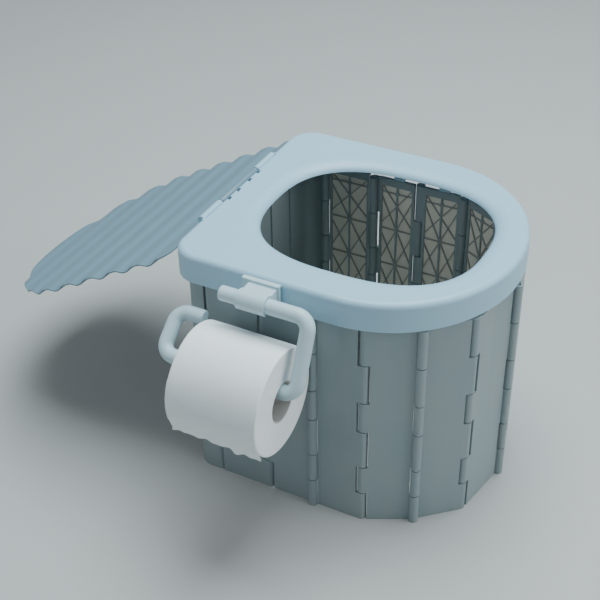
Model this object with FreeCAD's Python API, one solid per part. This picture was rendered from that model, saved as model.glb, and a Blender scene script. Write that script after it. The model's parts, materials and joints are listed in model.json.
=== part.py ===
"""Portable camp toilet: a folding ring of hinged wall panels under a lift-off seat.

Frame: millimetres, +Z up, +X towards the rounded front where the knees go.
The origin is on the floor, in the middle of the back wall's foot.
The user's right side is -Y. The paper holder hangs on that side.
"""
import FreeCAD
import Part
import math
import os
from FreeCAD import Vector

UP = Vector(0, 0, 1)

# ---- driving dimensions ----------------------------------------------------
# wall ring
WALL_T = 4.0                 # panel thickness over skin and ribs
SKIN_T = 2.0                 # skin left outside each rib pocket
RING_H = 252.0               # height of the hinged wall
HALF_WIDTH = 133.0           # outer face of the side walls from the middle
FIRST_AXIS_X = 26.5          # first hinge on each side
PANEL_WIDTHS = [62.0, 54.0, 54.0, 54.0, 54.0]
PANEL_HEADINGS = [0.0, 0.0, 0.0, 27.0, 42.0, 80.0]
FLUSH, PROUD = 5.0, -1.0     # axis depth behind the outer face: barrel inside, barrel outside
HINGE_DEPTHS = [FLUSH, FLUSH, PROUD, FLUSH, PROUD, FLUSH, PROUD]
BARREL_R = 5.0
TAB_REACH = 8.0              # from the hinge axis into the plate
PIN_R = 2.0
BORE_PLAY = 0.06             # running fit of a pin in the outer link's knuckles
FRONT_PIN_R = 1.6
FRONT_PLAY = 1.1             # play of the front pivot, where the folding ring is closed
EDGE_GAP = 5.4               # panel edge to hinge axis beside the other link's knuckles
WIDE_EDGE_GAP = 6.5          # the same at the hinges that turn outwards or have play
EDGE_GAPS = [EDGE_GAP, WIDE_EDGE_GAP, EDGE_GAP, EDGE_GAP, EDGE_GAP, EDGE_GAP, WIDE_EDGE_GAP]
KNUCKLE_HEIGHTS = [37.0, 36.0, 48.0, 38.0, 47.0, 46.0]
KNUCKLE_GAP = 1.2
POCKET_MARGIN = 3.0
POCKET_END = 9.0
MID_RIB = 1.8
# back wall
BACK_TOP = 272.0             # its upper edge stands inside the seat
BACK_CORNER_R = 17.0
BACK_RIB_SPACING = 43.0
BACK_RIB_W = 4.0
BACK_RIB_T = 2.0
WELD = 0.5                   # overlap of features that are fused
# seat
SEAT_BACK_X = -11.5
SEAT_LENGTH = 314.0
SEAT_HALF_W = 142.5
SEAT_TOP = 284.5
SKIRT_H = 31.0
SHELL_T = 3.0
SEAT_CORNER_R = 28.0
NOSE_LENGTH = 133.5          # the elliptical front's half-axis along X
SEAT_EDGE_R = 6.0
HOLE_CENTRE_X = 149.6
HOLE_HALF_L = 115.7
HOLE_HALF_W = 97.9
HOLE_POWER = 2.6             # a little squarer than an ellipse
LIP_DEPTH = 8.0
LIP_REACH = 15.0             # the thickened lip's width around the hole
LIP_ROLL = [(18.0, -0.35), (14.0, 0.0), (10.5, 0.45), (7.3, 1.3),
            (4.5, 2.6), (2.2, 4.3), (0.7, 6.2), (0.0, 8.2)]   # distance out, depth below the top
FOOT_SIZE = (12.0, 11.0)     # the seat's supports that rest over the ring's top edge
FOOT_CLEARANCE = 0.6
FOOT_X = (62.0, 118.0, 172.0)
# lid and its hinge
LID_AXIS = Vector(-12.5, 0, 280.0)
LID_BARREL_R = 4.4
LID_ROD_R = 2.0
RECESS_HALF = 75.0
RECESS_DEPTH = 14.0
RECESS_IN = 5.0
HINGE_SLOTS_Y = (-30.4, -11.7, 11.7, 30.4)   # notches in the seat beside the lid's knuckle
HINGE_SLOT = (3.0, 6.5)      # their size along X and Y
LID_KNUCKLE_HALF = 37.0
LID_LENGTH = 311.0
LID_HALF_W = 137.0
LID_CORNER_R = 18.0
LID_NOSE = 131.0
LID_T = 2.2
LID_WAVE = 3.8               # height of the corrugation
LID_RIDGES = 8
LID_BAND = 22.0              # plain strip beside the hinge
LID_OFFSET = 5.2             # closed lid's underside above the hinge axis
LID_ROOT = 9.2               # sheet starts this far from the hinge axis
LID_OPEN = 209.2             # degrees that the lid stands open, back and down
# paper holder, a bent tube in a collar
TUBE_R = 7.5
TUBE_BEND_R = 13.0
UPPER_BAR = (-166.0, 272.0)
LOWER_BAR = (-197.0, 203.0)
HOOK_BAR = (-162.0, 232.0)
STUB_X = 63.0
ARM_X = 158.0
HOOK_X = 11.0
HOOK_END_X = 41.0
COLLAR_X = (84.0, 114.0)
COLLAR_T = 2.6
COLLAR_PLAY = 0.08
RAIL_X = (76.0, 116.0)
RAIL_Z = (258.0, 280.0)
RAIL_T = 2.0
RAIL_SETBACK = 2.0           # rail is this much smaller than the clip plate
CLIP_PLATE_T = 3.0
CLIP_HOOK_T = 2.0            # top flange of the clip over the rail
COLLAR_MOUTH = (-5.0, 4.0)   # open slot under the collar, from its axis
# paper roll
ROLL_X = (48.5, 144.5)
ROLL_R = 54.5
CORE_R = 21.5
CORE_T = 1.5
CORE_DROP = 12.0             # roll axis below the bar that it hangs on
TAIL_T = 0.6
TAIL_ANGLES = (150.0, 216.0)

NAMED_SHAPES = {}


def box(low, high):
    return Part.makeBox(high[0] - low[0], high[1] - low[1], high[2] - low[2], Vector(*low))


def heading(degrees):
    angle = math.radians(degrees)
    return Vector(math.cos(angle), math.sin(angle), 0)


def inward(degrees):
    direction = heading(degrees)
    return Vector(-direction.y, direction.x, 0)


def mirrored(shape):
    return shape.mirror(Vector(0, 0, 0), Vector(0, 1, 0))


def knuckle_bands(start):
    """Every other band of the hinge's height, from the floor up."""
    bands = []
    low = 0.0
    for number, height in enumerate(KNUCKLE_HEIGHTS):
        if number % 2 == start:
            bottom = low if number == 0 else low + KNUCKLE_GAP / 2
            top = low + height - KNUCKLE_GAP / 2
            bands.append((bottom, top))
        low += height
    return bands


# ---- the wall ring's plan ---------------------------------------------------
def ring_plan():
    """Hinge axes of the right side and the width that closes the ring in the middle."""
    axes = [Vector(FIRST_AXIS_X, -HALF_WIDTH + FLUSH, 0)]
    for number, width in enumerate(PANEL_WIDTHS):
        angle = PANEL_HEADINGS[number]
        step = HINGE_DEPTHS[number + 1] - HINGE_DEPTHS[number]
        axes.append(axes[-1] + heading(angle) * width + inward(angle) * step)
    angle = PANEL_HEADINGS[5]
    step = inward(angle) * (HINGE_DEPTHS[6] - HINGE_DEPTHS[5])
    last_width = -(axes[-1].y + step.y) / math.sin(math.radians(angle))
    axes.append(axes[-1] + heading(angle) * last_width + step)
    return axes, PANEL_WIDTHS + [last_width]


AXES, WIDTHS = ring_plan()


def knuckles(x, depth, side, bands):
    """Barrels of one panel at one hinge, with the tabs that join them to the plate."""
    solids = []
    low_x = x if side > 0 else x - TAB_REACH
    for bottom, top in bands:
        barrel = Part.makeCylinder(BARREL_R, top - bottom, Vector(x, depth, bottom))
        tab = box((low_x, 0, bottom), (low_x + TAB_REACH, WALL_T, top))
        solids += [barrel, tab]
    return solids


def panel(number, end_start, end_bore):
    """One wall panel in its own frame: X along its width, Y inwards from its outer face."""
    width = WIDTHS[number]
    depth_a, depth_b = HINGE_DEPTHS[number], HINGE_DEPTHS[number + 1]
    low_x = EDGE_GAPS[number]
    high_x = width - EDGE_GAPS[number + 1]
    plate = box((low_x, 0, 0), (high_x, WALL_T, RING_H))
    middle = (low_x + high_x) / 2
    pockets = []
    for start, stop in ((low_x + POCKET_MARGIN, middle - MID_RIB / 2),
                        (middle + MID_RIB / 2, high_x - POCKET_MARGIN)):
        pockets.append(box((start, SKIN_T, POCKET_END), (stop, WALL_T + 1, RING_H - POCKET_END)))
    plate = plate.cut(pockets)
    pieces = knuckles(0, depth_a, 1, knuckle_bands(1))
    pieces += knuckles(width, depth_b, -1, knuckle_bands(end_start))
    shape = plate.multiFuse(pieces).removeSplitter()
    bore_a = Part.makeCylinder(PIN_R + BORE_PLAY, RING_H + 2, Vector(0, depth_a, -1))
    bore_b = Part.makeCylinder(end_bore, RING_H + 2, Vector(width, depth_b, -1))
    return shape.cut([bore_a, bore_b])


def placed(shape, number):
    """Put a panel in the ring's right side."""
    angle = PANEL_HEADINGS[number]
    origin = AXES[number] - inward(angle) * HINGE_DEPTHS[number]
    turned = shape.copy()
    turned.Placement = FreeCAD.Placement(origin, FreeCAD.Rotation(UP, angle))
    return turned


def make_ring():
    for number in range(6):
        inner_bore = FRONT_PIN_R if number == 5 else PIN_R
        right = placed(panel(number, 0, inner_bore), number)
        NAMED_SHAPES["panel_right_%d" % (number + 1)] = right
        if number == 5:
            right = placed(panel(number, 1, FRONT_PIN_R + FRONT_PLAY), number)
        NAMED_SHAPES["panel_left_%d" % (number + 1)] = mirrored(right)
        pin = Part.makeCylinder(PIN_R, RING_H, AXES[number])
        NAMED_SHAPES["hinge_pin_right_%d" % (number + 1)] = pin
        NAMED_SHAPES["hinge_pin_left_%d" % (number + 1)] = mirrored(pin)
    NAMED_SHAPES["hinge_pin_front"] = Part.makeCylinder(FRONT_PIN_R, RING_H, AXES[6])


def make_back_wall():
    """Rigid back with rounded corners and the two short returns that carry the first hinges."""
    far_x = 2 * FIRST_AXIS_X
    half_t = WALL_T / 2
    outer = box((-half_t, -HALF_WIDTH, 0), (far_x, HALF_WIDTH, BACK_TOP))
    inner_half = HALF_WIDTH - WALL_T
    inner = box((half_t, -inner_half, -1), (far_x + 1, inner_half, BACK_TOP + 1))
    outer = outer.makeFillet(BACK_CORNER_R, upright_edges(outer, -half_t))
    inner = inner.makeFillet(BACK_CORNER_R - WALL_T, upright_edges(inner, half_t))
    edge_x = FIRST_AXIS_X - EDGE_GAPS[0]
    beyond = box((edge_x, -HALF_WIDTH - 1, -1), (far_x + 2, HALF_WIDTH + 1, BACK_TOP + 2))
    shape = outer.cut([inner, beyond])
    ribs = []
    for step in range(-2, 3):
        middle = step * BACK_RIB_SPACING
        ribs.append(box((half_t - WELD, middle - BACK_RIB_W / 2, 0),
                        (half_t + BACK_RIB_T, middle + BACK_RIB_W / 2, BACK_TOP - 4)))
    right = []
    for solid in knuckles(0, FLUSH, -1, knuckle_bands(0)):
        solid.Placement = FreeCAD.Placement(AXES[0] - Vector(0, FLUSH, 0), FreeCAD.Rotation())
        right.append(solid)
    left = [mirrored(solid) for solid in right]
    shape = shape.multiFuse(ribs + right + left).removeSplitter()
    bore = Part.makeCylinder(PIN_R, RING_H + 2, AXES[0] - Vector(0, 0, 1))
    NAMED_SHAPES["back_wall"] = shape.cut([bore, mirrored(bore)])


def upright_edges(solid, x):
    found = []
    for edge in solid.Edges:
        ends = edge.BoundBox
        if abs(ends.XMax - x) < 0.01 and ends.XLength < 0.01 and ends.YLength < 0.01:
            found.append(edge)
    return found


# ---- seat -------------------------------------------------------------------
def d_outline(back_x, front_x, half_w, corner_r, nose, z):
    """Straight back, rounded back corners, straight sides and an elliptical front."""
    side_x = front_x - nose
    corner = corner_r * (1 - math.sqrt(0.5))
    p1 = Vector(back_x, half_w - corner_r, z)
    p2 = Vector(back_x, -half_w + corner_r, z)
    m2 = Vector(back_x + corner, -half_w + corner, z)
    p3 = Vector(back_x + corner_r, -half_w, z)
    p4 = Vector(side_x, -half_w, z)
    p5 = Vector(side_x, half_w, z)
    p6 = Vector(back_x + corner_r, half_w, z)
    m1 = Vector(back_x + corner, half_w - corner, z)
    centre = Vector(side_x, 0, z)
    if nose < half_w:
        ellipse = Part.Ellipse(Vector(side_x, half_w, z), Vector(front_x, 0, z), centre)
        front = Part.ArcOfEllipse(ellipse, 0, math.pi)
    else:
        ellipse = Part.Ellipse(Vector(front_x, 0, z), Vector(side_x, half_w, z), centre)
        front = Part.ArcOfEllipse(ellipse, -math.pi / 2, math.pi / 2)
    edges = [Part.LineSegment(p1, p2).toShape(), Part.Arc(p2, m2, p3).toShape(),
             Part.LineSegment(p3, p4).toShape(), front.toShape(),
             Part.LineSegment(p5, p6).toShape(), Part.Arc(p6, m1, p1).toShape()]
    return Part.Face(Part.Wire(Part.__sortEdges__(edges)))


def hole_outline(grow, z):
    """The seat opening: a closed curve a little squarer than an ellipse."""
    count = 32
    points = []
    for step in range(count):
        angle = 2 * math.pi * step / count
        c, s = math.cos(angle), math.sin(angle)
        x = math.copysign(abs(c) ** (2 / HOLE_POWER), c) * (HOLE_HALF_L + grow)
        y = math.copysign(abs(s) ** (2 / HOLE_POWER), s) * (HOLE_HALF_W + grow)
        points.append(Vector(HOLE_CENTRE_X + x, y, z))
    curve = Part.BSplineCurve()
    curve.interpolate(points, PeriodicFlag=True)
    return Part.Face(Part.Wire(curve.toShape()))


def top_edges(solid, z, wanted):
    return [edge for edge in solid.Edges
            if abs(edge.CenterOfMass.z - z) < 0.01 and edge.BoundBox.ZLength < 0.1 and wanted(edge)]


def make_seat():
    front_x = SEAT_BACK_X + SEAT_LENGTH
    bottom = SEAT_TOP - SKIRT_H
    outer = d_outline(SEAT_BACK_X, front_x, SEAT_HALF_W, SEAT_CORNER_R, NOSE_LENGTH, bottom)
    outer = outer.extrude(UP * SKIRT_H)
    outer = outer.makeFillet(SEAT_EDGE_R, top_edges(outer, SEAT_TOP, lambda edge: True))
    cavity = d_outline(SEAT_BACK_X + SHELL_T, front_x - SHELL_T, SEAT_HALF_W - SHELL_T,
                       SEAT_CORNER_R - SHELL_T, NOSE_LENGTH - SHELL_T, bottom - 1)
    cavity = cavity.extrude(UP * (SKIRT_H - SHELL_T + 1))
    ceiling = top_edges(cavity, SEAT_TOP - SHELL_T, lambda edge: True)
    cavity = cavity.makeFillet(SEAT_EDGE_R - SHELL_T, ceiling)
    shell = outer.cut(cavity)
    lip = hole_outline(LIP_REACH, SEAT_TOP - LIP_DEPTH).extrude(UP * (LIP_DEPTH - SHELL_T / 2))
    recess_block = box((SEAT_BACK_X + 1, -RECESS_HALF - SHELL_T, SEAT_TOP - RECESS_DEPTH - SHELL_T),
                       (SEAT_BACK_X + RECESS_IN + SHELL_T, RECESS_HALF + SHELL_T, SEAT_TOP - 1))
    shell = shell.multiFuse([lip, recess_block] + seat_feet())
    rolled = Part.makeLoft([hole_outline(out, SEAT_TOP - depth).OuterWire for out, depth in LIP_ROLL], True)
    shell = shell.cut(rolled)
    recess = box((SEAT_BACK_X - 5, -RECESS_HALF, SEAT_TOP - RECESS_DEPTH),
                 (SEAT_BACK_X + RECESS_IN, RECESS_HALF, SEAT_TOP + 1))
    shell = shell.cut([recess] + hinge_slots())
    shell = shell.multiFuse(seat_knuckles())
    half_rod = RECESS_HALF - SHELL_T
    bore = Part.makeCylinder(LID_ROD_R, 2 * half_rod, LID_AXIS - Vector(0, half_rod, 0), Vector(0, 1, 0))
    NAMED_SHAPES["seat"] = shell.cut(bore).removeSplitter()
    NAMED_SHAPES["lid_hinge_rod"] = bore


def seat_feet():
    """Blocks inside the skirt that stand over the ring's top edge and carry the load."""
    feet = []
    length, depth = FOOT_SIZE
    bottom = RING_H + FOOT_CLEARANCE
    top = SEAT_TOP - SHELL_T + WELD
    y = SEAT_HALF_W - SHELL_T + WELD
    for x in FOOT_X:
        foot = box((x - length / 2, -y, bottom), (x + length / 2, -y + depth, top))
        feet += [foot, mirrored(foot)]
    return feet


def hinge_slots():
    """Notches in the front edge of the hinge recess."""
    start_x = SEAT_BACK_X + RECESS_IN - 1
    width, length = HINGE_SLOT
    return [box((start_x, y - length / 2, SEAT_TOP - RECESS_DEPTH / 2),
                (start_x + 1 + width, y + length / 2, SEAT_TOP + 1)) for y in HINGE_SLOTS_Y]


def seat_knuckles():
    """The seat's two outer hinge barrels, each on a web to the recess."""
    solids = []
    inner_y = LID_KNUCKLE_HALF + KNUCKLE_GAP
    length = RECESS_HALF - inner_y
    for start in (inner_y, -RECESS_HALF):
        centre = Vector(LID_AXIS.x, start, LID_AXIS.z)
        barrel = Part.makeCylinder(LID_BARREL_R, length, centre, Vector(0, 1, 0))
        web = box((LID_AXIS.x, start, LID_AXIS.z - LID_BARREL_R),
                  (SEAT_BACK_X + RECESS_IN + 1, start + length, LID_AXIS.z + 1.5))
        solids += [barrel, web]
    return solids


# ---- lid --------------------------------------------------------------------
def lid_profile():
    """Section of the corrugated sheet, closed on the seat: plain band, then even waves."""
    start = LID_ROOT
    end = LID_LENGTH
    pitch = (end - LID_BAND) / LID_RIDGES
    low, high = LID_OFFSET, LID_OFFSET + LID_WAVE
    under = [(start, low), (LID_BAND, low)]
    for ridge in range(LID_RIDGES):
        x = LID_BAND + ridge * pitch
        under += [(x + 0.22 * pitch, high), (x + 0.50 * pitch, high), (x + 0.72 * pitch, low)]
        if ridge < LID_RIDGES - 1:
            under.append((x + pitch, low))
    under.append((end + 5, low))
    over = [(x, z + LID_T) for x, z in reversed(under)]
    points = [Vector(LID_AXIS.x + x, -LID_HALF_W - 10, LID_AXIS.z + z) for x, z in under + over]
    return Part.Face(Part.makePolygon(points + points[:1]))


def make_lid():
    sheet = lid_profile().extrude(Vector(0, 2 * LID_HALF_W + 20, 0))
    back_x = LID_AXIS.x + LID_ROOT - 0.5
    outline = d_outline(back_x, LID_AXIS.x + LID_LENGTH, LID_HALF_W, LID_CORNER_R, LID_NOSE, LID_AXIS.z)
    sheet = sheet.common(outline.extrude(UP * 40))
    axis_x, axis_z = LID_AXIS.x, LID_AXIS.z
    low_y = -LID_KNUCKLE_HALF
    start = Vector(axis_x, low_y, axis_z)
    barrel = Part.makeCylinder(LID_BARREL_R, 2 * LID_KNUCKLE_HALF, start, Vector(0, 1, 0))
    top = axis_z + LID_OFFSET + LID_T
    neck = box((axis_x - 2.0, low_y, axis_z + 2.0), (axis_x + 2.0, LID_KNUCKLE_HALF, top))
    bridge = box((axis_x - 2.0, low_y, axis_z + LID_OFFSET),
                 (axis_x + LID_ROOT + 2.0, LID_KNUCKLE_HALF, top))
    shape = sheet.multiFuse([barrel, neck, bridge]).removeSplitter()
    bore = Part.makeCylinder(LID_ROD_R + BORE_PLAY, 2 * LID_HALF_W, LID_AXIS - Vector(0, LID_HALF_W, 0),
                             Vector(0, 1, 0))
    shape = shape.cut(bore)
    shape.rotate(LID_AXIS, Vector(0, 1, 0), -LID_OPEN)
    NAMED_SHAPES["lid"] = shape


# ---- paper holder and roll --------------------------------------------------
def bent_path(points, radius):
    """Straight runs through the points, joined by tangent arcs of one radius."""
    edges = []
    start = points[0]
    for before, corner, after in zip(points, points[1:], points[2:]):
        a = (before - corner).normalize()
        b = (after - corner).normalize()
        half = a.getAngle(b) / 2
        cut = radius / math.tan(half)
        middle = (a + b).normalize()
        centre = corner + middle * (radius / math.sin(half))
        arc_in, arc_out = corner + a * cut, corner + b * cut
        edges.append(Part.LineSegment(start, arc_in).toShape())
        edges.append(Part.Arc(arc_in, centre - middle * radius, arc_out).toShape())
        start = arc_out
    edges.append(Part.LineSegment(start, points[-1]).toShape())
    return Part.Wire(edges)


def tube_points():
    (upper_y, upper_z), (lower_y, lower_z), (hook_y, hook_z) = UPPER_BAR, LOWER_BAR, HOOK_BAR
    return [Vector(STUB_X, upper_y, upper_z), Vector(ARM_X, upper_y, upper_z),
            Vector(ARM_X, lower_y, lower_z), Vector(HOOK_X, lower_y, lower_z),
            Vector(HOOK_X, hook_y, hook_z), Vector(HOOK_END_X, hook_y, hook_z)]


def make_holder():
    points = tube_points()
    path = bent_path(points, TUBE_BEND_R)
    ring = Part.Wire(Part.makeCircle(TUBE_R, points[0], Vector(1, 0, 0)))
    tube = path.makePipeShell([ring], True, True)
    tube = tube.makeFillet(2.0, [edge for edge in tube.Edges if edge.BoundBox.XLength < 0.01
                                 and abs(edge.Length - 2 * math.pi * TUBE_R) < 0.1
                                 and (abs(edge.BoundBox.XMin - STUB_X) < 0.01
                                      or abs(edge.BoundBox.XMin - HOOK_END_X) < 0.01)])
    NAMED_SHAPES["holder_tube"] = tube
    y, z = UPPER_BAR
    x0, x1 = COLLAR_X
    length = x1 - x0
    outer_r = TUBE_R + COLLAR_PLAY + COLLAR_T
    plate_y = -SEAT_HALF_W - RAIL_T - CLIP_PLATE_T
    collar = Part.makeCylinder(outer_r, length, Vector(x0, y, z), Vector(1, 0, 0))
    arm = box((x0, y, z - outer_r + 1.5), (x1, plate_y + WELD, z + outer_r - 3.0))
    low_x, high_x = RAIL_X
    low_z, high_z = RAIL_Z
    plate = box((low_x, plate_y, low_z), (high_x, plate_y + CLIP_PLATE_T, high_z + CLIP_HOOK_T))
    hook = box((low_x, plate_y, high_z), (high_x, -SEAT_HALF_W, high_z + CLIP_HOOK_T))
    clip = collar.multiFuse([arm, plate, hook])
    bore = Part.makeCylinder(TUBE_R + COLLAR_PLAY, length + 2, Vector(x0 - 1, y, z), Vector(1, 0, 0))
    mouth = box((x0 - 1, y + COLLAR_MOUTH[0], z - outer_r - 1), (x1 + 1, y + COLLAR_MOUTH[1], z))
    NAMED_SHAPES["holder_clip"] = clip.cut([bore, mouth]).removeSplitter()
    NAMED_SHAPES["holder_rail"] = box((low_x + RAIL_SETBACK, -SEAT_HALF_W - RAIL_T, low_z + RAIL_SETBACK),
                                      (high_x - RAIL_SETBACK, -SEAT_HALF_W, high_z))


def tube_wall(outer_r, inner_r, centre, length):
    along = Vector(1, 0, 0)
    outer = Part.makeCylinder(outer_r, length, centre, along)
    return outer.cut(Part.makeCylinder(inner_r, length, centre, along))


def make_roll():
    y, z = LOWER_BAR
    x0, x1 = ROLL_X
    centre = Vector(x0, y, z - CORE_DROP)
    NAMED_SHAPES["roll_core"] = tube_wall(CORE_R, CORE_R - CORE_T, centre, x1 - x0)
    NAMED_SHAPES["paper_roll"] = tube_wall(ROLL_R, CORE_R, centre, x1 - x0)
    tail = tube_wall(ROLL_R + TAIL_T, ROLL_R, centre, x1 - x0)
    low, high = TAIL_ANGLES
    reach = 3 * ROLL_R
    fan = [centre]
    for angle in (low, (low + high) / 2, high):
        turn = math.radians(angle)
        fan.append(centre + Vector(0, math.cos(turn), math.sin(turn)) * reach)
    wedge = Part.Face(Part.makePolygon(fan + fan[:1])).extrude(Vector(x1 - x0, 0, 0))
    NAMED_SHAPES["paper_tail"] = tail.common(wedge)


def main():
    make_back_wall()
    make_ring()
    make_seat()
    make_lid()
    make_holder()
    make_roll()
    os.makedirs("parts", exist_ok=True)
    for name, shape in NAMED_SHAPES.items():
        solids = shape.Solids
        if len(solids) != 1 or not shape.isValid():
            print("CHECK", name, "solids", len(solids), "valid", shape.isValid())
        shape.exportStep("parts/%s.step" % name)
    print(len(NAMED_SHAPES), "nodes; ring closes with a front panel of %.2f" % WIDTHS[5])
    for number, axis in enumerate(AXES):
        print("axis", number + 1, round(axis.x, 3), round(axis.y, 3))


main()
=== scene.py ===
"""Looks of a portable camp toilet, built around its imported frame.

Metres, +Z up, +X towards the rounded front of the seat and -Y towards the
paper holder. Each sub-assembly is a class that holds its sizes as fields. It
builds the pieces that the frame lacks, dresses the ones that it has, and gives
every new piece to the body that carries it.
"""
import json
import logging
import math
from dataclasses import dataclass
from enum import Enum
from typing import Any, Callable, Optional, Sequence, Union

import bmesh
import bpy
from mathutils import Matrix, Vector, noise


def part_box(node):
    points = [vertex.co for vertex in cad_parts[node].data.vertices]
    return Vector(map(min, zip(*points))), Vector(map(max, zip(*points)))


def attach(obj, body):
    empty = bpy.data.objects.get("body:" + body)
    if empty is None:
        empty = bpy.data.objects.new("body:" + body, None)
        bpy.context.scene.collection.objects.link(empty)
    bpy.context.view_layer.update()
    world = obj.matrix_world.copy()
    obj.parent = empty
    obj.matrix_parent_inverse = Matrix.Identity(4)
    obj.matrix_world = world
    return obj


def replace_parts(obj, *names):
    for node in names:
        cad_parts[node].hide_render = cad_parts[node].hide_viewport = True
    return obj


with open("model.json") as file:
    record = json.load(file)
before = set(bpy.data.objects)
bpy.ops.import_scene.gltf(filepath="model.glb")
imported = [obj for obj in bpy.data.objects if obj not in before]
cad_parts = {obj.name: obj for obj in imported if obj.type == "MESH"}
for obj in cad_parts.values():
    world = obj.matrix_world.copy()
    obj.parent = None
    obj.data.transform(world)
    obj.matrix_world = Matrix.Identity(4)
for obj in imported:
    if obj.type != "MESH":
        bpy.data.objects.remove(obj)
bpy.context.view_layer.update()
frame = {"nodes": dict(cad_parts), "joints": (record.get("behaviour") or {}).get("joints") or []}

logging.basicConfig(level=logging.INFO, format="%(levelname)s %(message)s")
log = logging.getLogger("camp_toilet")

Colour = tuple[float, float, float]
Number = Union[int, float]


class Slot(Enum):
    """Material slots of the record, by the finish that they take."""

    WALL = "wall_plastic"
    SEAT = "seat_plastic"
    LID = "lid_plastic"
    HOLDER = "holder_plastic"
    PIN = "pin_steel"
    CORE = "core_board"
    PAPER = "tissue_paper"


class Side(Enum):
    """The two halves of the wall ring, by the sign of their Y."""

    RIGHT = -1
    LEFT = 1

    @property
    def word(self) -> str:
        """The half's name in node and body names."""
        return self.name.lower()


# ---- node trees --------------------------------------------------------------
class Value:
    """A number socket that takes Python's arithmetic and adds Math nodes for it."""

    def __init__(self, tree: "NodeTree", socket: bpy.types.NodeSocket) -> None:
        """Wraps a socket of a tree."""
        self.tree = tree
        self.socket = socket

    def math(self, operation: str, *operands: Union["Value", Number], clamp: bool = False) -> "Value":
        """Adds one Math node.

        Args:
            operation: The Math node's operation.
            operands: Its inputs in order.
            clamp: Whether the result is held between 0 and 1.

        Returns:
            The node's result.
        """
        settings = {"operation": operation, "use_clamp": clamp}
        node = self.tree.node("ShaderNodeMath", settings, dict(enumerate(operands)))
        return Value(self.tree, node.outputs[0])

    def __add__(self, other: Union["Value", Number]) -> "Value":
        """Sum of two values."""
        return self.math("ADD", self, other)

    def __radd__(self, other: Number) -> "Value":
        """Sum with a number on the left."""
        return self.math("ADD", other, self)

    def __sub__(self, other: Union["Value", Number]) -> "Value":
        """Difference of two values."""
        return self.math("SUBTRACT", self, other)

    def __rsub__(self, other: Number) -> "Value":
        """Difference with a number on the left."""
        return self.math("SUBTRACT", other, self)

    def __mul__(self, other: Union["Value", Number]) -> "Value":
        """Product of two values."""
        return self.math("MULTIPLY", self, other)

    def __rmul__(self, other: Number) -> "Value":
        """Product with a number on the left."""
        return self.math("MULTIPLY", other, self)

    def __truediv__(self, other: Union["Value", Number]) -> "Value":
        """Quotient of two values."""
        return self.math("DIVIDE", self, other)

    def __pow__(self, other: Number) -> "Value":
        """Power of a value."""
        return self.math("POWER", self, other)

    def sine(self) -> "Value":
        """Sine of a value in radians."""
        return self.math("SINE", self)

    def between(self, low: float, high: float) -> "Value":
        """Ramp from 0 at low to 1 at high, held outside them."""
        inputs = {"Value": self, "From Min": low, "From Max": high}
        node = self.tree.node("ShaderNodeMapRange", {"interpolation_type": "SMOOTHSTEP"}, inputs)
        return Value(self.tree, node.outputs[0])


Feed = Union[Value, bpy.types.NodeSocket, Number, Sequence[float], None]


class NodeTree:
    """Any node tree, with one method that adds a node of any type."""

    def __init__(self, tree: bpy.types.NodeTree) -> None:
        """Wraps a tree and keeps its nodes and links at hand."""
        self.tree = tree

    def feed(self, socket: bpy.types.NodeSocket, value: Feed) -> None:
        """Links a socket or sets its constant."""
        if isinstance(value, Value):
            self.tree.links.new(value.socket, socket)
        elif isinstance(value, bpy.types.NodeSocket):
            self.tree.links.new(value, socket)
        elif value is not None:
            socket.default_value = value

    def node(self, kind: str, settings: Optional[dict[str, Any]] = None,
             inputs: Optional[dict[Union[int, str], Feed]] = None) -> bpy.types.Node:
        """Adds a node.

        Args:
            kind: The node's type.
            settings: Its properties, set before its sockets.
            inputs: Links or constants by the socket's name or number.

        Returns:
            The new node.
        """
        made = self.tree.nodes.new(kind)
        for name, setting in (settings or {}).items():
            setattr(made, name, setting)
        for key, value in (inputs or {}).items():
            self.feed(made.inputs[key], value)
        return made


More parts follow.
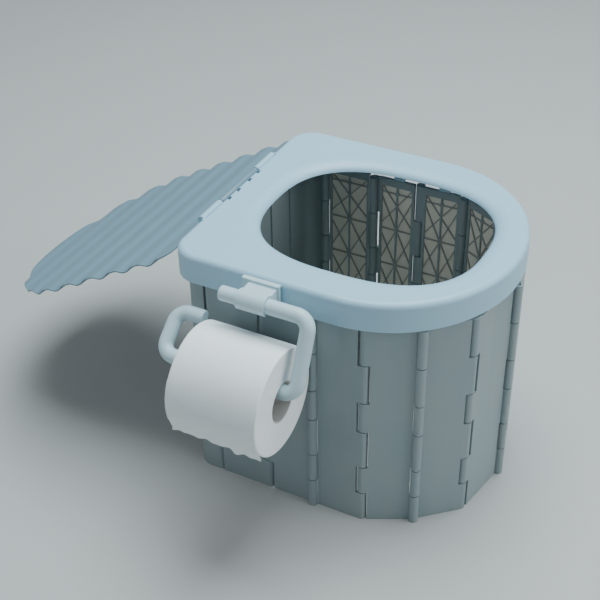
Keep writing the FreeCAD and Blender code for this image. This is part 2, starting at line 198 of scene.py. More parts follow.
class ShaderTree(NodeTree):
    """A material's nodes, ending in one Principled shader."""

    def __init__(self, name: str) -> None:
        """Starts an empty material of that name."""
        self.material = bpy.data.materials.new(name)
        self.material.use_nodes = True
        super().__init__(self.material.node_tree)
        self.tree.nodes.clear()

    def place(self, origin: Sequence[float] = (0, 0, 0), scale: Sequence[float] = (1, 1, 1),
              turn: Sequence[float] = (0, 0, 0)) -> bpy.types.NodeSocket:
        """Object coordinates, centred on a point and stretched.

        Args:
            origin: The point that becomes zero.
            scale: The stretch along each axis.
            turn: Rotation in radians about each axis.

        Returns:
            The vector socket.
        """
        where = self.node("ShaderNodeTexCoord").outputs["Object"]
        shifted = self.node("ShaderNodeVectorMath", {"operation": "SUBTRACT"}, {0: where, 1: origin})
        inputs = {"Vector": shifted.outputs[0], "Scale": scale, "Rotation": turn}
        return self.node("ShaderNodeMapping", {}, inputs).outputs[0]

    def axes(self, vector: bpy.types.NodeSocket) -> tuple[Value, Value, Value]:
        """The three parts of a vector as values."""
        parts = self.node("ShaderNodeSeparateXYZ", {}, {0: vector})
        return tuple(Value(self, part) for part in parts.outputs)

    def noise(self, vector: Feed, scale: float, detail: float = 3.0, roughness: float = 0.5) -> Value:
        """Even noise from 0 to 1 at a scale in cycles per metre."""
        inputs = {"Vector": vector, "Scale": scale, "Detail": detail, "Roughness": roughness}
        return Value(self, self.node("ShaderNodeTexNoise", {}, inputs).outputs[0])

    def mix(self, share: Feed, first: Feed, second: Feed) -> bpy.types.NodeSocket:
        """Mixes two colours."""
        def opaque(colour: Feed) -> Feed:
            return (*colour, 1.0) if isinstance(colour, tuple) else colour
        inputs = {0: share, 6: opaque(first), 7: opaque(second)}
        return self.node("ShaderNodeMix", {"data_type": "RGBA"}, inputs).outputs[2]

    def bump(self, height: Value, strength: float, distance: float,
             below: Optional[bpy.types.NodeSocket] = None) -> bpy.types.NodeSocket:
        """Relief of a height that runs from 0 to 1.

        Args:
            height: The height.
            strength: How much of it shows.
            distance: The full height in metres.
            below: Relief that this one is laid over.

        Returns:
            The normal socket.
        """
        inputs = {"Height": height, "Strength": strength, "Distance": distance, "Normal": below}
        return self.node("ShaderNodeBump", {}, inputs).outputs[0]

    def close(self, **inputs: Feed) -> bpy.types.Material:
        """Ends the tree in a Principled shader.

        Args:
            inputs: Its sockets, with underscores for the spaces in their names.

        Returns:
            The finished material.
        """
        named = {name.replace("_", " "): value for name, value in inputs.items()}
        shader = self.node("ShaderNodeBsdfPrincipled", {}, named)
        self.node("ShaderNodeOutputMaterial", {}, {"Surface": shader.outputs[0]})
        return self.material


class GeometryTree(NodeTree):
    """A Geometry Nodes group with named inputs, made into plain meshes."""

    def __init__(self, name: str, sizes: Sequence[str], counts: Sequence[str] = ()) -> None:
        """Starts a group.

        Args:
            name: The group's name.
            sizes: Names of its inputs that are lengths.
            counts: Names of its inputs that are whole numbers.
        """
        super().__init__(bpy.data.node_groups.new(name, "GeometryNodeTree"))
        face = self.tree.interface
        face.new_socket("Geometry", in_out="INPUT", socket_type="NodeSocketGeometry")
        self.keys = {}
        for label in sizes:
            self.keys[label] = face.new_socket(label, in_out="INPUT", socket_type="NodeSocketFloat")
        for label in counts:
            self.keys[label] = face.new_socket(label, in_out="INPUT", socket_type="NodeSocketInt")
        face.new_socket("Geometry", in_out="OUTPUT", socket_type="NodeSocketGeometry")
        self.entry = self.tree.nodes.new("NodeGroupInput")

    def size(self, label: str) -> Value:
        """The value of a named input."""
        return Value(self, self.entry.outputs[label])

    def vector(self, x: Feed = 0.0, y: Feed = 0.0, z: Feed = 0.0) -> bpy.types.NodeSocket:
        """A vector from three values."""
        return self.node("ShaderNodeCombineXYZ", {}, {0: x, 1: y, 2: z}).outputs[0]

    def moved(self, shape: bpy.types.NodeSocket, shift: Feed = None,
              turn: Feed = None) -> bpy.types.NodeSocket:
        """A shape shifted and turned."""
        inputs = {"Geometry": shape, "Translation": shift, "Rotation": turn}
        return self.node("GeometryNodeTransform", {}, inputs).outputs[0]

    def joined(self, *shapes: bpy.types.NodeSocket) -> bpy.types.NodeSocket:
        """Several shapes as one."""
        node = self.node("GeometryNodeJoinGeometry")
        for shape in shapes:
            self.tree.links.new(shape, node.inputs[0])
        return node.outputs[0]

    def close(self, shape: bpy.types.NodeSocket, material: bpy.types.Material) -> None:
        """Ends the tree in real geometry with its material."""
        real = self.node("GeometryNodeRealizeInstances", {}, {0: shape}).outputs[0]
        dressed = self.node("GeometryNodeSetMaterial", {}, {"Geometry": real, "Material": material})
        end = self.tree.nodes.new("NodeGroupOutput")
        self.tree.links.new(dressed.outputs[0], end.inputs[0])

    def mesh(self, name: str, sizes: dict[str, Number]) -> bpy.types.Mesh:
        """Runs the group once.

        Args:
            name: The mesh's name.
            sizes: A value for each named input.

        Returns:
            A plain mesh with no modifier behind it.
        """
        holder = bpy.data.objects.new(name + "_maker", bpy.data.meshes.new(name + "_seed"))
        bpy.context.scene.collection.objects.link(holder)
        modifier = holder.modifiers.new("Nodes", "NODES")
        modifier.node_group = self.tree
        for label, size in sizes.items():
            modifier[self.keys[label].identifier] = size
        depsgraph = bpy.context.evaluated_depsgraph_get()
        made = bpy.data.meshes.new_from_object(holder.evaluated_get(depsgraph), depsgraph=depsgraph)
        made.name = name
        holder.modifiers.remove(modifier)
        bpy.data.objects.remove(holder)
        return made


# ---- finishes ----------------------------------------------------------------
@dataclass(frozen=True)
class MouldedPlastic:
    """Injection-moulded polypropylene: satin, with faint flow marks and scuffs."""

    name: str
    colour: Colour
    worn: Colour
    roughness: float = 0.46
    grain: float = 1.0
    flow: float = 1.0
    subsurface: float = 0.0

    def material(self) -> bpy.types.Material:
        """Builds the material."""
        tree = ShaderTree(self.name)
        here = tree.place()
        clouds = tree.noise(here, 14.0, 4.0, 0.55)
        streaks = tree.noise(tree.place(scale=(60, 60, 7)), 1.0, 3.0, 0.6)
        scuffs = tree.noise(tree.place(scale=(420, 55, 260), turn=(0.4, 0.7, 0.5)), 1.0, 2.0, 0.7)
        specks = tree.noise(here, 1900.0, 2.0, 0.6)
        wear = (clouds * 0.55 + streaks * 0.45 * self.flow).between(0.42, 0.68)
        marks = scuffs.between(0.66, 0.78)
        base = tree.mix(wear * 0.55 + marks * 0.25, self.colour, self.worn)
        ripple = tree.bump(clouds, 0.25 * self.flow, 0.0012)
        skin = tree.bump(specks, 0.20 * self.grain, 0.00012, ripple)
        rough = self.roughness + (clouds - 0.5) * 0.16 + marks * 0.10
        return tree.close(Base_Color=base, Roughness=rough, Normal=skin, IOR=1.49,
                          Subsurface_Weight=self.subsurface, Subsurface_Scale=0.004)


@dataclass(frozen=True)
class DrawnSteel:
    """Drawn steel rod, brushed along its length."""

    name: str
    colour: Colour
    along: Sequence[float]

    def material(self) -> bpy.types.Material:
        """Builds the material."""
        tree = ShaderTree(self.name)
        lines = tree.noise(tree.place(scale=self.along), 1.0, 2.0, 0.7)
        spots = tree.noise(tree.place(), 240.0, 3.0, 0.6).between(0.56, 0.72)
        dull = tuple(0.62 * part for part in self.colour)
        return tree.close(Base_Color=tree.mix(spots, self.colour, dull), Metallic=1.0,
                          Roughness=0.30 + lines * 0.16 + spots * 0.14,
                          Normal=tree.bump(lines, 0.3, 0.00005))


@dataclass(frozen=True)
class TissuePaper:
    """Soft wound paper: fibres all over, and the edges of its layers on the ends."""

    name: str
    colour: Colour
    shade: Colour
    centre: Sequence[float]
    layers: float = 1500.0

    def material(self) -> bpy.types.Material:
        """Builds the material."""
        tree = ShaderTree(self.name)
        x, y, z = tree.axes(tree.place(self.centre))
        reach = (y * y + z * z) ** 0.5
        sway = tree.noise(tree.place(self.centre), 26.0, 2.0, 0.5)
        line = tree.node("ShaderNodeCombineXYZ", {}, {0: reach * self.layers + sway * 1.2})
        edges = tree.noise(line.outputs[0], 1.0, 2.0, 0.65)
        across = tree.node("ShaderNodeCombineXYZ", {}, {0: x * 130.0, 1: reach * 6.0})
        bands = tree.noise(across.outputs[0], 1.0, 2.0, 0.5)
        fibre = tree.noise(tree.place(scale=(1500, 700, 700)), 1.0, 4.0, 0.7)
        soft = tree.noise(tree.place(), 60.0, 3.0, 0.5)
        tone = (edges.between(0.35, 0.70) * 0.50 + bands * 0.25 + soft * 0.25)
        relief = tree.bump(fibre, 0.35, 0.00018, tree.bump(edges, 0.35, 0.0004))
        return tree.close(Base_Color=tree.mix(tone, self.shade, self.colour),
                          Roughness=0.86 + fibre * 0.10, Normal=relief, Sheen_Weight=0.15,
                          Sheen_Roughness=0.6, Subsurface_Weight=0.12, Subsurface_Scale=0.003)


@dataclass(frozen=True)
class Cardboard:
    """Spiral-wound grey board."""

    name: str
    colour: Colour
    seam: Colour
    centre: Sequence[float]

    def material(self) -> bpy.types.Material:
        """Builds the material."""
        tree = ShaderTree(self.name)
        x, y, z = tree.axes(tree.place(self.centre))
        turn = z.math("ARCTAN2", z, y)
        helix = (x * 90.0 + turn).sine()
        flecks = tree.noise(tree.place(), 900.0, 4.0, 0.7)
        base = tree.mix(helix.between(0.965, 0.995) * 0.7 + flecks * 0.3, self.colour, self.seam)
        return tree.close(Base_Color=base, Roughness=0.88 + flecks * 0.08,
                          Normal=tree.bump(flecks, 0.4, 0.0002))


@dataclass(frozen=True)
class PaleFloor:
    """Plain matt studio floor."""

    name: str
    colour: Colour

    def material(self) -> bpy.types.Material:
        """Builds the material."""
        tree = ShaderTree(self.name)
        mottle = tree.noise(tree.place(), 5.0, 4.0, 0.6)
        shade = tuple(0.96 * part for part in self.colour)
        return tree.close(Base_Color=tree.mix(mottle, self.colour, shade),
                          Roughness=0.72 + mottle * 0.1)


# ---- meshes ------------------------------------------------------------------
Row = Sequence[Vector]


def skin(name: str, rows: Sequence[Row], wrap_rows: bool = False, wrap_row: bool = False,
         capped: bool = False) -> bpy.types.Mesh:
    """Makes a mesh of four-sided faces over rows of points.

    Args:
        name: The mesh's name.
        rows: Rows with the same number of points.
        wrap_rows: Whether the last row joins the first.
        wrap_row: Whether each row is a closed loop.
        capped: Whether the first and last loops are filled.

    Returns:
        A mesh with smooth faces that point outwards where it is closed.
    """
    built = bmesh.new()
    grid = [[built.verts.new(point) for point in row] for row in rows]
    count, width = len(grid), len(grid[0])
    for i in range(count if wrap_rows else count - 1):
        for j in range(width if wrap_row else width - 1):
            near, far = grid[i], grid[(i + 1) % count]
            k = (j + 1) % width
            built.faces.new((near[j], near[k], far[k], far[j]))
    if capped:
        built.faces.new(list(reversed(grid[0])))
        built.faces.new(grid[-1])
    bmesh.ops.recalc_face_normals(built, faces=built.faces)
    for face in built.faces:
        face.smooth = True
    mesh = bpy.data.meshes.new(name)
    built.to_mesh(mesh)
    built.free()
    return mesh


def prism(name: str, outline: Sequence[tuple[float, float]], low: float, high: float,
          place: Callable[[float, float, float], Vector]) -> bpy.types.Mesh:
    """Makes a solid of one outline.

    Args:
        name: The mesh's name.
        outline: Its corners in the plane of the section.
        low: Where it starts along its length.
        high: Where it ends.
        place: Gives the point for section coordinates and length.

    Returns:
        A closed mesh with flat faces.
    """
    rows = [[place(u, v, length) for u, v in outline] for length in (low, high)]
    mesh = skin(name, rows, wrap_row=True, capped=True)
    for face in mesh.polygons:
        face.use_smooth = False
    return mesh


def bevelled(mesh: bpy.types.Mesh, width: float, segments: int = 2,
             angle: float = 0.6) -> bpy.types.Mesh:
    """Rounds a mesh's sharp edges.

    Args:
        mesh: The mesh, which is changed.
        width: The size of the round in metres.
        segments: The faces across it.
        angle: Edges sharper than this many radians are rounded.

    Returns:
        The same mesh, smooth.
    """
    built = bmesh.new()
    built.from_mesh(mesh)
    bmesh.ops.remove_doubles(built, verts=built.verts, dist=1e-6)
    sharp = [edge for edge in built.edges
             if len(edge.link_faces) == 2 and edge.calc_face_angle() > angle]
    bmesh.ops.bevel(built, geom=sharp, offset=width, segments=segments, profile=0.5,
                    affect="EDGES", clamp_overlap=True)
    for face in built.faces:
        face.smooth = True
    built.to_mesh(mesh)
    built.free()
    mesh.set_sharp_from_angle(angle=0.5)
    return mesh


def shown(mesh: bpy.types.Mesh, name: str, body: str, slot: Slot,
          material: Optional[bpy.types.Material] = None) -> bpy.types.Object:
    """Puts a finished mesh in the scene as a piece.

    Args:
        mesh: The mesh, in its place.
        name: The piece's name.
        body: The body that it rides on.
        slot: The record's slot for the piece; not used.
        material: Its material, or nothing where the mesh has one.

    Returns:
        The piece's object.
    """
    if material is not None:
        mesh.materials.clear()
        mesh.materials.append(material)
    piece = bpy.data.objects.new(name, mesh)
    bpy.context.scene.collection.objects.link(piece)
    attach(piece, body)
    log.info("piece %s on body %s", name, body)
    return piece


def dress(node: str, material: bpy.types.Material) -> None:
    """Gives a frame node a better material through its object's own slots."""
    thing = frame["nodes"][node]
    if not thing.material_slots:
        thing.data.materials.append(material)
    for slot in thing.material_slots:
        slot.link = "OBJECT"
        slot.material = material


def joint_place(name: str) -> Vector:
    """A joint's point at rest."""
    return next(Vector(joint["pos_m"]) for joint in frame["joints"] if joint["name"] == name)


# ---- the wall ring -----------------------------------------------------------
@dataclass
class WallRing:
    """Twelve hinged panels and the back wall, with the star ribs inside them."""

    wall: bpy.types.Material
    # rib and web are lighter than the wall as painted glow for light that comes through the thin
    # plastic; the rib also keeps its own greyer tone.
    rib: bpy.types.Material
    web: bpy.types.Material
    steel: bpy.types.Material
    panels: int = 6
    headings: Sequence[float] = (0.0, 0.0, 0.0, 27.0, 42.0, 80.0)
    depths: Sequence[float] = (0.005, 0.005, -0.001, 0.005, -0.001, 0.005, -0.001)
    edge_gaps: Sequence[float] = (0.0054, 0.0065, 0.0054, 0.0054, 0.0054, 0.0054, 0.0065)
    skin: float = 0.002
    margin: float = 0.003
    low: float = 0.009
    high: float = 0.243
    first_star: float = 0.0417
    star_pitch: float = 0.0482
    stars: int = 5
    rib_width: float = 0.0014
    rib_height: float = 0.0016
    boss: float = 0.0027
    boss_rise: float = 1.2
    core_rise: float = 1.5
    slant: float = 0.85
    web_height: float = 0.0002
    mid_rib: float = 0.0018

    def star_tree(self) -> GeometryTree:
        """Builds the rib pattern: a column of bosses, each with six spokes.

        Returns:
            The group, whose X runs across the panel, Y inwards and Z up.
        """
        labels = ("Half Width", "First", "Pitch", "Rib Width", "Rib Height", "Boss", "Rise",
                  "Low", "High")
        tree = GeometryTree("star_ribs", labels, ("Rows",))
        half, rise = tree.size("Half Width"), tree.size("Rise")
        thick, tall, boss = tree.size("Rib Width"), tree.size("Rib Height"), tree.size("Boss")
        level = tree.node("GeometryNodeMeshCube", {}, {"Size": tree.vector(half * 2.0, tall, thick)})
        reach = (half * half + rise * rise) ** 0.5
        spoke = tree.node("GeometryNodeMeshCube", {}, {"Size": tree.vector(reach * 2.0, tall, thick)})
        lean = rise.math("ARCTAN2", rise, half)
        lift = tree.vector(0.0, tall * 0.5, 0.0)
        bars = [tree.moved(level.outputs[0], lift),
                tree.moved(spoke.outputs[0], lift, tree.vector(0.0, lean, 0.0)),
                tree.moved(spoke.outputs[0], lift, tree.vector(0.0, lean * -1.0, 0.0))]
        quarter = (math.pi / 2, 0.0, 0.0)
        for radius, height in ((boss, tall * self.boss_rise), (boss * 0.45, tall * self.core_rise)):
            pin = tree.node("GeometryNodeMeshCylinder", {},
                            {"Vertices": 14, "Radius": radius, "Depth": height})
            bars.append(tree.moved(pin.outputs[0], tree.vector(0.0, height * 0.5, 0.0), quarter))
        column = tree.node("GeometryNodeMeshLine", {},
                           {"Count": Value(tree, tree.entry.outputs["Rows"]),
                            "Start Location": tree.vector(0.0, 0.0, tree.size("First")),
                            "Offset": tree.vector(0.0, 0.0, tree.size("Pitch"))})
        placed = tree.node("GeometryNodeInstanceOnPoints", {},
                           {"Points": column.outputs[0], "Instance": tree.joined(*bars)})
        real = tree.node("GeometryNodeRealizeInstances", {}, {0: placed.outputs[0]})
        place = tree.node("GeometryNodeInputPosition").outputs[0]
        parts = tree.node("ShaderNodeSeparateXYZ", {}, {0: place})
        x, y, z = (Value(tree, part) for part in parts.outputs)
        held = z.math("MINIMUM", z.math("MAXIMUM", z, tree.size("Low")), tree.size("High"))
        trimmed = tree.node("GeometryNodeSetPosition", {},
                            {"Geometry": real.outputs[0], "Position": tree.vector(x, y, held)})
        tree.close(trimmed.outputs[0], self.rib)
        return tree

    def panel_frame(self, number: int) -> tuple[Matrix, float]:
        """Where a right panel stands.

        Args:
            number: The panel's number from 0 at the back.

        Returns:
            Its frame, with X along its width and Y inwards, and its width.
        """
        start = joint_place("right_fold_%d" % (number + 1))
        if number < self.panels - 1:
            end = joint_place("right_fold_%d" % (number + 2))
        else:
            low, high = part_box("hinge_pin_front")
            end = (low + high) / 2
        turn = math.radians(self.headings[number])
        along = Vector((math.cos(turn), math.sin(turn), 0))
        inward = Vector((-along.y, along.x, 0))
        origin = Vector((start.x, start.y, 0)) - inward * self.depths[number]
        matrix = Matrix.Rotation(turn, 4, "Z")
        matrix.translation = origin
        return matrix, (Vector((end.x, end.y, 0)) - Vector((start.x, start.y, 0))).dot(along)

    def settle(self, mesh: bpy.types.Mesh, matrix: Matrix, side: Side) -> bpy.types.Mesh:
        """Moves a panel's own mesh to its place, mirrored for the left half."""
        mesh.transform(matrix)
        if side is Side.LEFT:
            mesh.transform(Matrix.Scale(-1, 4, (0, 1, 0)))
            mesh.flip_normals()
        return mesh

    def web_mesh(self, name: str, half: float) -> bpy.types.Mesh:
        """The thin translucent wall between the ribs of one panel, in a pale material that is painted
        glow for the light shining through it.

        Args:
            name: The mesh's name.
            half: Half the width of the ribbed field.

        Returns:
            Two thin plates, one each side of the middle rib.
        """
        built = bmesh.new()
        for sign in (-1, 1):
            size = half - self.mid_rib / 2
            centre = Vector((sign * (self.mid_rib / 2 + size / 2), self.web_height / 2,
                             (self.low + self.high) / 2))
            scale = Matrix.Diagonal((size, self.web_height, self.high - self.low, 1))
            bmesh.ops.create_cube(built, size=1.0, matrix=Matrix.Translation(centre) @ scale)
        mesh = bpy.data.meshes.new(name)
        built.to_mesh(mesh)
        built.free()
        return mesh

    def build(self) -> None:
        """Builds the ribs and dresses the walls and pins."""
        dress("back_wall", self.wall)
        dress("hinge_pin_front", self.steel)
        tree = self.star_tree()
        for number in range(self.panels):
            matrix, width = self.panel_frame(number)
            low_x, high_x = self.edge_gaps[number], width - self.edge_gaps[number + 1]
            half = (high_x - low_x) / 2 - self.margin
            shift = Matrix.Translation((((low_x + high_x) / 2), self.skin, 0))
            sizes = {"Half Width": half, "First": self.first_star, "Pitch": self.star_pitch,
                     "Rows": self.stars, "Rib Width": self.rib_width, "Rib Height": self.rib_height,
                     "Boss": self.boss, "Rise": self.slant * self.star_pitch,
                     "Low": self.low, "High": self.high}
            for side in Side:
                label = "%s_%d" % (side.word, number + 1)
                body = "%s_link_%d" % (side.word, number + 1)
                ribs = self.settle(tree.mesh("star_ribs_" + label, sizes), matrix @ shift, side)
                shown(ribs, "star_ribs_" + label, body, Slot.WALL)
                web = self.settle(self.web_mesh("web_" + label, half), matrix @ shift, side)
                shown(web, "web_" + label, body, Slot.WALL, self.web)
                dress("panel_" + label, self.wall)
                dress("hinge_pin_" + label, self.steel)


# ---- seat and lid --------------------------------------------------------------
@dataclass
class Seat:
    """The D-shaped seat shell, its hinge rod and the holder's rail."""

    shell: bpy.types.Material
    steel: bpy.types.Material

    def build(self) -> None:
        """Dresses the seat's nodes."""
        dress("seat", self.shell)
        dress("holder_rail", self.shell)
        dress("lid_hinge_rod", self.steel)
        log.info("seat dressed")


@dataclass
class Lid:
    """The corrugated lid, made closed about its hinge and then swung open."""

    plastic: bpy.types.Material
    opened: float = 209.2
    length: float = 0.311
    half_width: float = 0.137
    root: float = 0.0087
    corner: float = 0.018
    nose: float = 0.131
    thickness: float = 0.0022
    offset: float = 0.0052
    wave: float = 0.0038
    band: float = 0.022
    ridges: int = 8
    stations: int = 340
    columns: int = 30
    rise_share: float = 0.34
    fall_start: float = 0.42
    tip_gap: float = 0.0002
    lip: float = 0.0004
    barrel: float = 0.0044
    barrel_steps: int = 28
    knuckle_half: float = 0.037
    neck: float = 0.002
    strap: float = 0.0025

    def half_at(self, x: float) -> float:
        """Half the lid's width at a distance from the hinge."""
        if x < self.root + self.corner:
            inset = self.corner - (x - self.root)
            return self.half_width - self.corner + math.sqrt(max(0.0, self.corner ** 2 - inset ** 2))
        straight = self.length - self.nose
        if x <= straight:
            return self.half_width
        share = min(1.0, (x - straight) / self.nose)
        return self.half_width * math.sqrt(max(0.0, 1.0 - share ** 2))

    def rise_at(self, x: float) -> float:
        """Height of the corrugation: a plain band, then even rounded ridges."""
        if x <= self.band:
            return 0.0
        pitch = (self.length - self.band) / self.ridges
        phase = ((x - self.band) / pitch) % 1.0
        up = min(1.0, max(0.0, phase / self.rise_share))
        down = min(1.0, max(0.0, (phase - self.fall_start) / self.rise_share))
        smooth = [share * share * (3 - 2 * share) for share in (up, down)]
        return self.wave * (smooth[0] - smooth[1])

    def sheet_rows(self) -> list[list[Vector]]:
        """Closed sections across the sheet, from the hinge to the nose."""
        rows = []
        for step in range(self.stations):
            share = step / (self.stations - 1)
            eased = share
            if share >= 0.8:
                eased = 0.8 + 0.2 * math.sin((share - 0.8) / 0.2 * math.pi / 2)
            x = self.root + (self.length - self.root - self.tip_gap) * min(1.0, eased)
            half = max(0.0015, self.half_at(x))
            low = self.offset + self.rise_at(x)
            under, over = [], []
            for column in range(self.columns + 1):
                y = half * (2 * column / self.columns - 1)
                lip = self.lip if column in (0, self.columns) else 0.0
                under.append(Vector((x, y, low + lip)))
                over.append(Vector((x, y, low + self.thickness - lip)))
            rows.append(under + list(reversed(over)))
        return rows

    def knuckle_outline(self) -> list[tuple[float, float]]:
        """Section of the middle barrel with its neck and the strap to the sheet."""
        rise = math.sqrt(self.barrel ** 2 - self.neck ** 2)
        first = math.atan2(rise, -self.neck)
        last = math.atan2(rise, self.neck) + 2 * math.pi
        steps = self.barrel_steps
        ring = [first + (last - first) * step / steps for step in range(steps + 1)]
        points = [(self.barrel * math.cos(turn), self.barrel * math.sin(turn)) for turn in ring]
        top = self.offset + self.thickness
        far = self.root + self.strap
        return points + [(self.neck, self.offset), (far, self.offset), (far, top),
                         (-self.neck, top)]

    def build(self) -> None:
        """Builds the sheet and its knuckle and opens them."""
        hinge = joint_place("lid_hinge")
        swing = Matrix.Translation(hinge) @ Matrix.Rotation(-math.radians(self.opened), 4, "Y")
        sheet = skin("lid_sheet", self.sheet_rows(), wrap_row=True, capped=True)
        sheet.transform(swing)
        sheet.set_sharp_from_angle(angle=0.9)
        panel = shown(sheet, "lid_sheet", "lid", Slot.LID, self.plastic)
        knuckle = prism("lid_knuckle", self.knuckle_outline(), -self.knuckle_half, self.knuckle_half,
                        lambda x, z, y: Vector((x, y, z)))
        knuckle = bevelled(knuckle, 0.0003)
        knuckle.transform(swing)
        shown(knuckle, "lid_knuckle", "lid", Slot.LID, self.plastic)
        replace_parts(panel, "lid")


# ---- paper holder and roll -----------------------------------------------------
@dataclass
class Holder:
    """The bent tube and the clip that carries it."""

    plastic: bpy.types.Material

    def build(self) -> None:
        """Dresses the holder's nodes."""
        for node in ("holder_tube", "holder_clip"):
            dress(node, self.plastic)
        log.info("holder dressed")


@dataclass
class PaperRoll:
    """A part-used roll: wound paper, its core and the loose end of the sheet."""

    paper: bpy.types.Material
    board: bpy.types.Material
    turns: int = 200
    edge: float = 0.0016
    core_wall: float = 0.0015
    tail_start: float = 150.0
    tail_lift: float = 204.0
    tail_end: float = 213.0
    flap: float = 0.0075
    tail_gap: float = 0.00045
    tail_sunk: float = 0.0003
    tail_blend: float = 30.0
    sheet_thickness: float = 0.00022
    crease_at: float = 204.0
    crease_spread: float = 24.0
    crease_height: float = 0.0011
    core_inset: float = 0.0006
    core_turns: int = 96
    lying: int = 56
    columns: int = 96
    flap_steps: int = 8

    def __post_init__(self) -> None:
        """Reads the roll's place from the frame."""
        low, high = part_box("paper_roll")
        core_low, core_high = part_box("roll_core")
        self.centre = (low + high) / 2
        self.radius = (high.z - low.z) / 2
        self.core = (core_high.z - core_low.z) / 2
        self.half = (high.x - low.x) / 2

    def around(self, x: float, radius: float, degrees: float) -> Vector:
        """A point at a distance and an angle from the roll's centre line."""
        turn = math.radians(degrees)
        return self.centre + Vector((x, radius * math.cos(turn), radius * math.sin(turn)))

    def crease(self, x: float, degrees: float) -> float:
        """How far the outer layer stands off near the loose end."""
        near = max(0.0, 1.0 - abs(degrees - self.crease_at) / self.crease_spread)
        slant = noise.noise(Vector((x * 62.0 + degrees * 0.09, degrees * 0.035, 3.1)))
        return near * near * self.crease_height * max(0.0, slant + 0.12)

    def swell(self, x: float, degrees: float) -> float:
        """Slow rise and fall of the wound surface, from -1 to 1."""
        turn = math.radians(degrees)
        return noise.noise(Vector((x * 16.0, math.cos(turn) * 1.3, math.sin(turn) * 1.3)))

    def wound_rows(self) -> list[list[Vector]]:
        """Sections of the wound paper, one for each angle."""
        rows = []
        corner = [(self.half - self.edge * (1 - math.sin(a)),
                   self.radius - self.edge * (1 - math.cos(a)))
                  for a in (0.0, 0.4, 0.8, 1.2, math.pi / 2)]
        faces = [self.core + (self.radius - self.edge - self.core) * k / 26
                 for k in range(25, -1, -1)]
        right = corner + [(self.half, radius) for radius in faces]
        flat = [-self.half + self.edge + (self.half - self.edge) * 2 * k / 40 for k in range(1, 40)]
        for step in range(self.turns):
            degrees = 360.0 * step / self.turns
            row = []
            section = [(-x, radius) for x, radius in reversed(right)]
            section += [(x, self.radius) for x in flat] + right
            for x, radius in section:
                share = (radius - self.core) / (self.radius - self.core)
                out = radius + share * (0.0005 * self.swell(x, degrees) + self.crease(x, degrees))
                ring = noise.noise(Vector((radius * 900.0, degrees * 0.01, 7.0)))
                end = math.copysign(max(0.0, abs(x) - self.half + self.edge) / self.edge, x)
                wander = noise.noise(Vector((radius * 60.0, degrees * 0.02, 1.7)))
                inset = end * (0.00012 + 0.0002 * ring + 0.0004 * wander)
                row.append(self.around(x - inset, out, degrees))
            rows.append(row)
        return rows

    def core_rows(self) -> list[list[Vector]]:
        """Closed sections of the board tube, one for each angle."""
        inner, outer = self.core - self.core_wall, self.core - 0.00005
        end = self.half - self.core_inset
        section = [(-end, outer), (end, outer), (end, inner), (-end, inner)]
        return [[self.around(x, radius, 360.0 * step / self.core_turns) for x, radius in section]
                for step in range(self.core_turns)]

    def tail_rows(self) -> list[list[Vector]]:
        """The loose end: along the roll, then off it in a crumpled flap.

        Returns:
            Rows of points across the sheet.
        """
        rows = []
        lying, columns = self.lying, self.columns
        for step in range(lying + 1):
            degrees = self.tail_start + (self.tail_end - self.tail_start) * step / lying
            row = []
            for column in range(columns + 1):
                x = self.half * (2 * column / columns - 1) * 0.998
                lift = max(0.0, degrees - self.tail_lift) / (self.tail_end - self.tail_lift)
                ease = min(1.0, (degrees - self.tail_start) / self.tail_blend)
                stand = self.tail_gap * ease - self.tail_sunk * (1.0 - ease)
                stand += 0.0005 * self.swell(x, degrees)
                stand += self.crease(x, degrees) * 1.1
                stand += lift * (0.0010 + 0.0012 * abs(noise.noise(Vector((x * 70.0, 0.0, 9.0)))))
                row.append(self.around(x, self.radius + stand, degrees))
            rows.append(row)
        last = rows[-1]
        turn = math.radians(self.tail_end)
        tangent = Vector((0.0, -math.sin(turn), math.cos(turn)))
        outward = Vector((0.0, math.cos(turn), math.sin(turn)))
        for step in range(1, self.flap_steps + 1):
            share = step / self.flap_steps
            row = []
            for column, point in enumerate(last):
                x = column / columns
                ragged = 1.0 + 0.07 * noise.noise(Vector((x * 22.0, 0.0, 5.0)))
                fold = noise.noise(Vector((x * 9.0, share * 1.4, 2.0)))
                bend = 0.0024 * share * (0.55 + fold) + 0.00025 * math.sin(x * 41.0 + share * 4.0)
                splay = Vector((-0.0022 * share * (1.0 - x) ** 4, 0.0, 0.0))
                row.append(point + tangent * self.flap * share * ragged + outward * bend + splay)
            rows.append(row)
        return rows

    def build(self) -> None:
        """Builds the roll, its core and the tail."""
        wound = shown(skin("wound_paper", self.wound_rows(), wrap_rows=True, wrap_row=True),
                      "wound_paper", "roll", Slot.PAPER, self.paper)
        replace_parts(wound, "paper_roll")
        tube = skin("board_core", self.core_rows(), wrap_rows=True, wrap_row=True)
        tube.set_sharp_from_angle(angle=0.7)
        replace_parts(shown(tube, "board_core", "roll", Slot.CORE, self.board), "roll_core")
        tail = shown(skin("loose_sheet", self.tail_rows()), "loose_sheet", "roll", Slot.PAPER,
                     self.paper)
        thick = tail.modifiers.new("Thickness", "SOLIDIFY")
        thick.thickness = self.sheet_thickness
        thick.offset = 0.0
        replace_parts(tail, "paper_tail")
        arc = math.radians(self.tail_end - self.tail_start) * (self.radius + self.tail_gap)
        arc + self.flap


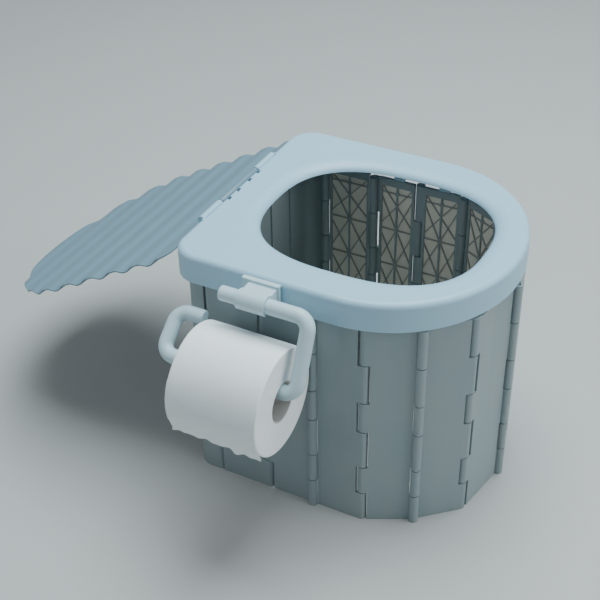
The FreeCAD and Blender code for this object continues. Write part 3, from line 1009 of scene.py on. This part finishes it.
# ---- studio --------------------------------------------------------------------
@dataclass
class Studio:
    """Pale floor, soft lights and the camera."""

    floor: bpy.types.Material
    place: Sequence[float] = (0.56188, -0.93875, 0.92391)
    yaw: float = 28.17
    pitch: float = 35.86
    roll: float = -1.08
    lens: float = 71.49
    floor_half: float = 6.0

    def camera(self) -> None:
        """Sets the camera at its viewing angle."""
        yaw, pitch, roll = (math.radians(angle) for angle in (self.yaw, self.pitch, self.roll))
        forward = Vector((-math.sin(yaw) * math.cos(pitch), math.cos(yaw) * math.cos(pitch),
                          -math.sin(pitch)))
        level = Vector((math.cos(yaw), math.sin(yaw), 0))
        upright = level.cross(forward)
        right = level * math.cos(roll) + upright * math.sin(roll)
        up = upright * math.cos(roll) - level * math.sin(roll)
        data = bpy.data.cameras.new("camera")
        data.lens = self.lens
        data.sensor_width = 36.0
        data.clip_start = 0.01
        made = bpy.data.objects.new("camera", data)
        turn = Matrix((right, up, -forward)).transposed().to_4x4()
        turn.translation = Vector(self.place)
        made.matrix_world = turn
        bpy.context.scene.collection.objects.link(made)
        bpy.context.scene.camera = made

    def lamp(self, name: str, place: Sequence[float], aim: Sequence[float], size: float,
             power: float, colour: Colour) -> None:
        """Adds a soft square lamp.

        Args:
            name: The lamp's name.
            place: Where it hangs.
            aim: The point that it faces.
            size: Its side in metres.
            power: Its power in watts.
            colour: Its colour.
        """
        data = bpy.data.lights.new(name, "AREA")
        data.shape = "SQUARE"
        data.size = size
        data.energy = power
        data.color = colour
        made = bpy.data.objects.new(name, data)
        made.location = place
        made.rotation_euler = (Vector(aim) - Vector(place)).to_track_quat("-Z", "Y").to_euler()
        bpy.context.scene.collection.objects.link(made)

    def build(self) -> None:
        """Builds the floor, the lamps, the surroundings and the camera."""
        self.camera()
        centre = (0.14, 0.0, 0.15)
        self.lamp("top_softbox", (0.2, 0.4, 2.2), centre, 1.5, 70.0, (0.82, 0.96, 1.0))
        self.lamp("front_softbox", (2.0, 0.2, 1.1), centre, 1.2, 19.0, (0.92, 0.98, 1.0))
        self.lamp("side_softbox", (-1.0, -2.0, 1.6), centre, 1.4, 9.5, (0.90, 0.97, 1.0))
        world = bpy.data.worlds.new("surroundings")
        world.use_nodes = True
        backdrop = world.node_tree.nodes["Background"]
        backdrop.inputs["Color"].default_value = (0.86, 0.93, 1.0, 1.0)
        backdrop.inputs["Strength"].default_value = 0.24
        bpy.context.scene.world = world
        half = self.floor_half
        rows = [[Vector((x, y, -0.0002)) for x in (-half, 0, half)] for y in (-half, 0, half)]
        ground = bpy.data.objects.new("floor", skin("floor", rows))
        ground.data.materials.append(self.floor)
        bpy.context.scene.collection.objects.link(ground)


def main() -> None:
    """Builds every sub-assembly in order."""
    roll_low, roll_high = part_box("paper_roll")
    roll_centre = tuple((roll_low + roll_high) / 2)
    wall = MouldedPlastic("wall_plastic_moulded", (0.26, 0.33, 0.345), (0.31, 0.35, 0.345),
                          0.44).material()
    # The rib colour keeps the plastic's greyer tone but is brightened as painted light, for the glow
    # that comes through the thin walls into the inside.
    rib = MouldedPlastic("rib_tone_and_painted_glow", (0.33, 0.345, 0.33), (0.38, 0.38, 0.35),
                         0.50).material()
    # The web's pale warm colour is painted light: it stands in for light shining through the thin
    # plastic, which this material does not let through.
    web = MouldedPlastic("web_plastic_moulded", (0.80, 0.76, 0.66), (0.68, 0.66, 0.59),
                         0.55).material()
    seat = MouldedPlastic("seat_plastic_moulded", (0.37, 0.585, 0.715), (0.41, 0.60, 0.715), 0.40,
                          flow=0.4).material()
    lid = MouldedPlastic("lid_plastic_moulded", (0.165, 0.265, 0.325), (0.21, 0.30, 0.345), 0.42,
                         flow=0.5).material()
    tube = MouldedPlastic("holder_plastic_moulded", (0.50, 0.66, 0.71), (0.53, 0.67, 0.71), 0.38,
                          flow=0.4).material()
    upright = DrawnSteel("pin_steel_drawn", (0.60, 0.61, 0.62), (2400, 2400, 30)).material()
    crosswise = DrawnSteel("rod_steel_drawn", (0.60, 0.61, 0.62), (2400, 30, 2400)).material()
    paper = TissuePaper("tissue_wound", (0.94, 0.96, 0.97), (0.84, 0.88, 0.90),
                        roll_centre).material()
    board = Cardboard("core_board_grey", (0.56, 0.54, 0.51), (0.42, 0.40, 0.37),
                      roll_centre).material()
    floor = PaleFloor("floor_pale", (0.50, 0.50, 0.49)).material()
    Studio(floor).build()
    WallRing(wall, rib, web, upright).build()
    Seat(seat, crosswise).build()
    Lid(lid).build()
    Holder(tube).build()
    PaperRoll(paper, board).build()
    log.info("sizes written")


if __name__ == "__main__":
    main()
